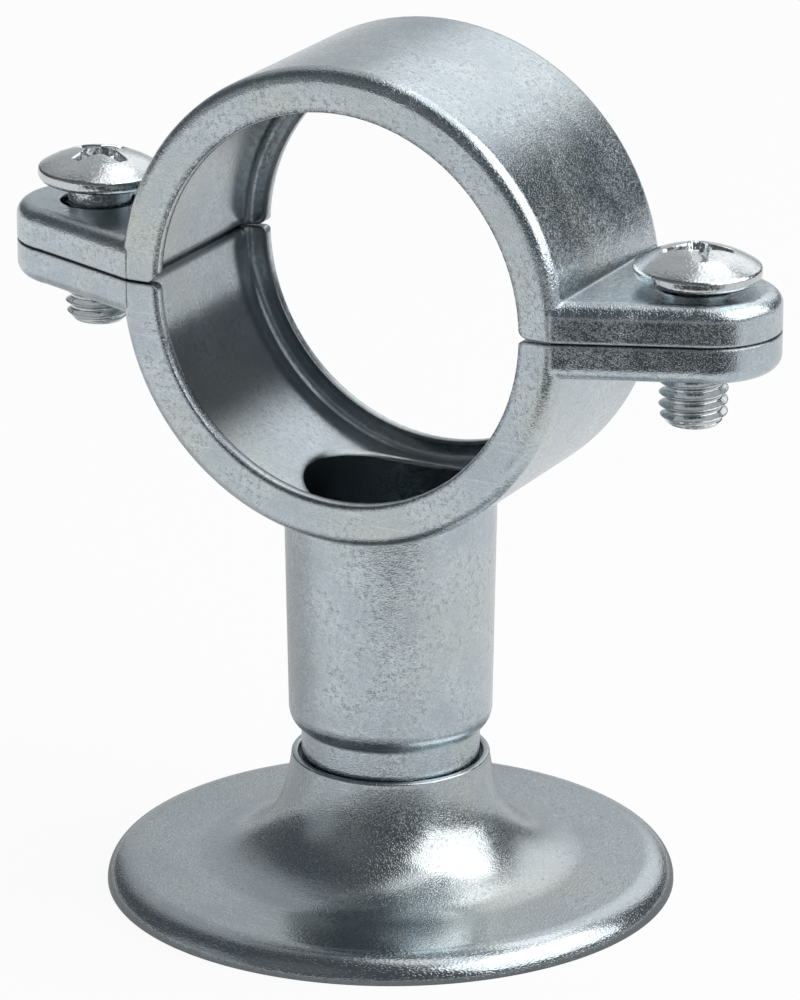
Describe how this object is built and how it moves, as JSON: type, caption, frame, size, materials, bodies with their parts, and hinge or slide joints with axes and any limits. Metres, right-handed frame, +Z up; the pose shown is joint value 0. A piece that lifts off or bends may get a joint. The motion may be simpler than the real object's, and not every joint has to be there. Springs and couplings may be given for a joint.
{
  "type": "pipe support clamp",
  "caption": "Plated metal pipe clamp: a split ring with screwed ears on a short hollow stem, with a loose trumpet-shaped foot cover.",
  "frame": {"origin": "middle of the footprint, on the wall or floor the foot sits against", "axes": "+Z up the stem away from the wall or floor, +Y along the pipe, +X towards the right pair of ears"},
  "size_m": [0.0714, 0.0494, 0.0751],
  "materials": {
    "cast_zinc": "zinc plated casting, fine grained",
    "drawn_zinc": "zinc plated drawn sheet, satin",
    "bright_zinc": "bright zinc plated"
  },
  "bodies": {
    "root": {"clamp_cap": "cast_zinc", "clamp_body": "cast_zinc", "base_rosette": "drawn_zinc", "clamp_screw_left": "bright_zinc", "clamp_screw_right": "bright_zinc"}
  },
  "joints": []
}
